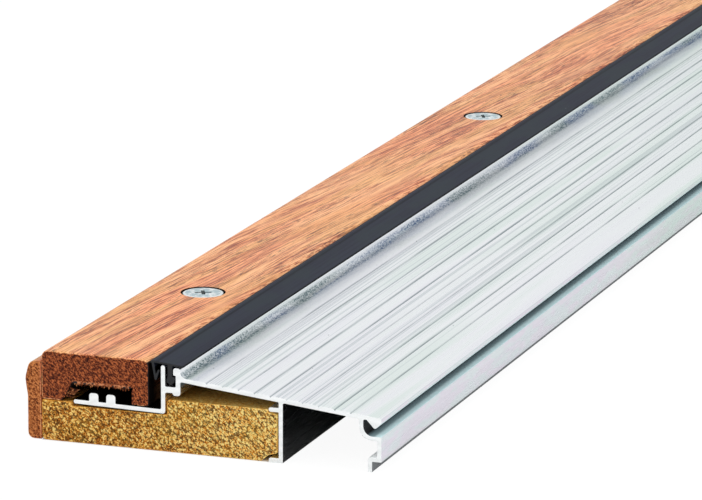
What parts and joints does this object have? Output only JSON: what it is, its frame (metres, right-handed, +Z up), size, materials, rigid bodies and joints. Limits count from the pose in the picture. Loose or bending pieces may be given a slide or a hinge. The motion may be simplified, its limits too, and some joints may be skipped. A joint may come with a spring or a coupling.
{
  "type": "threshold strip",
  "caption": "Adjustable exterior-door sill: grooved aluminium extrusion on a composite base, with an oak cap raised by screws, an oak nosing and a vinyl strip.",
  "frame": {"origin": "on the ground, under the middle of the sill's length and width", "axes": "+X along the length of the sill, +Y to the room side (oak cap and nosing), -Y to the weather side (nose), +Z up"},
  "size_m": [0.9144, 0.1428, 0.035],
  "materials": {
    "mill_aluminium": "mill finish, fine lengthwise extrusion lines",
    "cap_oak": "sanded oak, clear sealer",
    "nosing_oak": "sanded oak, clear sealer",
    "composite_board": "coarse wood-flour composite, raw",
    "charcoal_vinyl": "satin flexible vinyl",
    "zinc_plate": "zinc plated",
    "plain_steel": "plain bright steel"
  },
  "bodies": {
    "sill": {"aluminium_sill": "mill_aluminium", "composite_substrate": "composite_board", "hardwood_nosing": "nosing_oak", "vinyl_seal_strip": "charcoal_vinyl", "flange_screw_1": "plain_steel", "flange_screw_2": "plain_steel", "flange_screw_3": "plain_steel", "flange_screw_4": "plain_steel", "nosing_brad_1": "plain_steel", "nosing_brad_2": "plain_steel", "nosing_brad_3": "plain_steel", "nosing_brad_4": "plain_steel", "nosing_brad_5": "plain_steel"},
    "cap": {"hardwood_cap": "cap_oak"},
    "screw_1": {"adjusting_screw_1": "zinc_plate", "screw_retainer_1": "plain_steel"},
    "screw_2": {"adjusting_screw_2": "zinc_plate", "screw_retainer_2": "plain_steel"},
    "screw_3": {"adjusting_screw_3": "zinc_plate", "screw_retainer_3": "plain_steel"}
  },
  "joints": [
    {"name": "cap_lift", "type": "slide", "parent": "sill", "child": "cap", "axis": [0, 0, 1], "range_m": [0, 0.0095]},
    {"name": "screw_1_turn", "type": "hinge", "parent": "cap", "child": "screw_1", "pos_m": [-0.35242, 0.0399, 0.033], "axis": [0, 0, 1], "range_deg": [0, 2025]},
    {"name": "screw_2_turn", "type": "hinge", "parent": "cap", "child": "screw_2", "pos_m": [0, 0.0399, 0.033], "axis": [0, 0, 1], "range_deg": [0, 2025]},
    {"name": "screw_3_turn", "type": "hinge", "parent": "cap", "child": "screw_3", "pos_m": [0.35242, 0.0399, 0.033], "axis": [0, 0, 1], "range_deg": [0, 2025]}
  ],
  "couplings": [
    {"joint": "screw_1_turn", "follows": "cap_lift", "rad_per_m": 3717.9},
    {"joint": "screw_2_turn", "follows": "cap_lift", "rad_per_m": 3717.9},
    {"joint": "screw_3_turn", "follows": "cap_lift", "rad_per_m": 3717.9}
  ]
}
